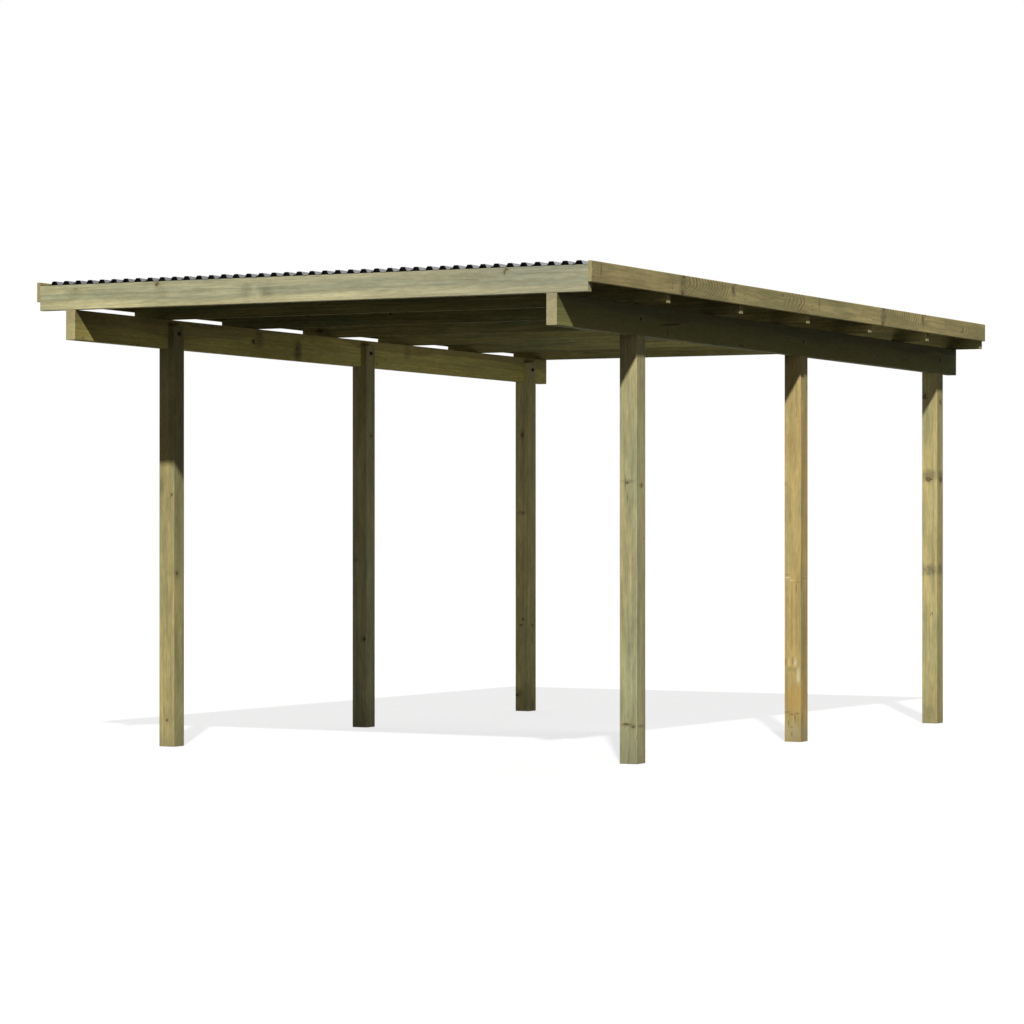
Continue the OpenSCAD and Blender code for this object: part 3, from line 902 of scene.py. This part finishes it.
def turnedShapes(spots, axes, shape):
    # a profile of radius and height turned about an axis at each spot, its first and last rings closed
    sides, profile = fixings["shapes"][shape]
    radii, heights = np.array(profile).T[..., None, None] * mm
    angles = (np.arange(sides) * 2 * pi / sides)[:, None]
    axes = np.broadcast_to(axes, spots.shape)
    helper = np.where(np.abs(axes[:, :1]) > 0.9, upright, right)
    sideways = np.cross(axes, helper)
    sideways /= np.linalg.norm(sideways, axis=1, keepdims=True)
    other = np.cross(axes, sideways)
    circle = np.cos(angles) * sideways[:, None] + np.sin(angles) * other[:, None]
    points = spots[:, None, None] + circle[:, None] * radii + axes[:, None, None] * heights
    loops = np.arange(points.size // 3).reshape(points.shape[:3])
    return points.reshape(-1, 3), [bandFaces(loops), loops[:, 0], loops[:, -1]]


def putFixings(name, *shapes):
    # the shapes one after another, each one's faces counted on from the points before it
    starts = np.cumsum([0] + [len(points) for points, groups in shapes])
    faceGroups = [group + start for start, (points, groups) in zip(starts, shapes) for group in groups]
    allPoints = np.concatenate([points for points, groups in shapes])
    putPiece(name, allPoints, faceGroups, steel, smoothAngle=28)


steel = steelFinish()
outer, inner = [], []
for side, sign in sideSigns.items():
    beamBox = nodeBox("beam_" + side)
    beamMiddle = beamBox.mean(0)
    for row in posts["rows"]:
        postBox = nodeBox(f"post_{row}_{side}")
        run = postBox.mean(0)[1]
        height = beamMiddle[2] - (run - beamMiddle[1]) * fallSlope
        outer.append((sign * np.abs(beamBox[:, 0]).max(), run, height))
        inner.append((sign * np.abs(postBox[:, 0]).min(), run, height))
outer, inner = np.array(outer), np.array(inner)
outwards = np.sign(outer[:, :1]) * right
boltEnds = [turnedShapes(inner, -outwards, shape) for shape in ("washer", "nut", "boltEnd")]
putFixings("post_bolts", turnedShapes(outer, outwards, "boltHead"), *boltEnds)

# sheet screws stand in the valleys over each purlin
purlinRuns = np.array([(nodeBox(node).mean(0) - roofCorner) @ fallAlong for node in purlins["names"]])
valleyNumbers = np.arange(1, fixings["valleys"], fixings["ribsPerScrew"]) + 0.5
valleys = purlinEnd + sheets["firstRib"] + valleyNumbers * sheets["ribPitch"]
valleyX, valleyRun = np.meshgrid(valleys, purlinRuns)
valleySpots = np.stack([valleyX.ravel(), valleyRun.ravel(), np.full(valleyX.size, sheets["thick"])], axis=1)
valleySpots = roofCorner + valleySpots @ roofAxes
sheetScrews = [turnedShapes(valleySpots, fallUp, shape) for shape in ("sheetWasher", "sheetHead")]
putFixings("sheet_screws", *sheetScrews)

# barge screws: two in each purlin's end, a pair either side of the butt at the middle purlin
middlePurlin = len(purlins["names"]) // 2
aboutButt = purlinRuns[middlePurlin] + np.array([-1, 1]) * fixings["fromButt"]
bargeRuns = np.concatenate([np.delete(purlinRuns, middlePurlin), aboutButt])
bargeBox = nodeBox("barge_board_front_right")
bargeRises = (bargeBox.mean(0) - roofCorner) @ fallUp + np.array([-fixings["screwRise"], 0.0])
bargeX, bargeRun, bargeRise = np.meshgrid(
    np.array([-1, 1]) * bargeBox[1][0], bargeRuns, bargeRises, indexing="ij",
)
screwSpots = np.stack([bargeX.ravel(), bargeRun.ravel(), bargeRise.ravel()], axis=1)
screwOut = np.sign(screwSpots[:, :1]) * right
putFixings("barge_screws", turnedShapes(roofCorner + screwSpots @ roofAxes, screwOut, "bargeHead"))
print("bolts and screws made")

# floor, light and camera
stage = {
    "floorSide": 90.0, "floorShade": 0.04, "shadowShare": 0.26,
    "fillColour": (1.0, 0.98, 0.88), "fillStrength": 0.14,
    "suns": {  # travel, strength and angle: the key light, a soft one from behind and a faint level one
        "sun": ((-0.555, 1.0, -0.93), 4.05, radians(1.6)),
        "back": ((0.7, -1.0, -0.75), 1.7, radians(90)),
        "front": ((-0.35, 1.0, -0.03), 0.14, radians(30)),
    },
    "sunReach": 8,
    "innerLamps": [  # place, travel, strength and side: for the left beam, posts and purlins
        ((0.6, 0.6, 0.9), (-0.5, 0.85, 0.2), 7.0, 1.4), ((0.9, -1.5, 0.8), (-1.0, 0.3, 0.35), 2.2, 1.2),
    ],
}
camera = {
    "place": (8.682025, -16.130196, 1.136533), "tilt": radians(90.13601), "turn": radians(28.85639),
    "lens": 122.68983, "sensor": 36.0, "farthest": 300,
}
white = (1, 1, 1, 1)

half = stage["floorSide"] / 2
floorCorners = [(-half, -half, 0), (half, -half, 0), (half, half, 0), (-half, half, 0)]
floorMesh = bpy.data.meshes.new("floor")
floorMesh.from_pydata(floorCorners, [], [(0, 1, 2, 3)])
floor = bpy.data.objects.new("floor", floorMesh)
bpy.context.collection.objects.link(floor)
floorFinish = bpy.data.materials.new("floor")
w = Wiring(floorFinish)
floorFinish.cycles.emission_sampling = "NONE"
glow = w.add("Emission").outputs[0]
shown = w.add("BsdfDiffuse", {0: white}).outputs[0]
bounce = w.add("BsdfDiffuse", {0: (*(stage["floorShade"],) * 3, 1)}).outputs[0]
paper = w.blend(stage["shadowShare"], glow, shown)
w.feed(w.tree.nodes["Material Output"].inputs[0], w.blend(w.seenDirectly(), bounce, paper))
floorMesh.materials.append(floorFinish)

world = bpy.data.worlds.new("studio")
bpy.context.scene.world = world
w = Wiring(world)
fill = w.tree.nodes["Background"]
w.feed(fill.inputs[0], (*stage["fillColour"], 1))
w.feed(fill.inputs[1], stage["fillStrength"])
backdrop = w.add("Background", {0: white}).outputs[0]
sky = w.blend(w.seenDirectly(), fill.outputs[0], backdrop)
w.feed(w.tree.nodes["World Output"].inputs[0], sky)


def putLamp(name, kind, strength, travel, place):
    lamp = bpy.data.objects.new(name, bpy.data.lights.new(name, kind))
    lamp.data.energy = strength
    lamp.rotation_euler = Vector(travel).to_track_quat("-Z", "Y").to_euler()
    lamp.location = place
    bpy.context.collection.objects.link(lamp)
    return lamp


for name, (travel, strength, angle) in stage["suns"].items():
    lamp = putLamp(name, "SUN", strength, travel, -stage["sunReach"] * Vector(travel))
    lamp.data.angle = angle
for number, (place, travel, strength, side) in enumerate(stage["innerLamps"]):
    lamp = putLamp(f"inner_{number}", "AREA", strength, travel, place)
    lamp.data.size = side
    lamp.visible_camera = False
    lamp.visible_glossy = False

eye = bpy.data.objects.new("camera", bpy.data.cameras.new("camera"))
eye.data.sensor_width = camera["sensor"]
eye.data.lens = camera["lens"]
eye.data.clip_end = camera["farthest"]
eye.location = camera["place"]
eye.rotation_euler = (camera["tilt"], 0, camera["turn"])
bpy.context.collection.objects.link(eye)
bpy.context.scene.camera = eye
bpy.context.scene.view_settings.view_transform = "Standard"
print("stage set")
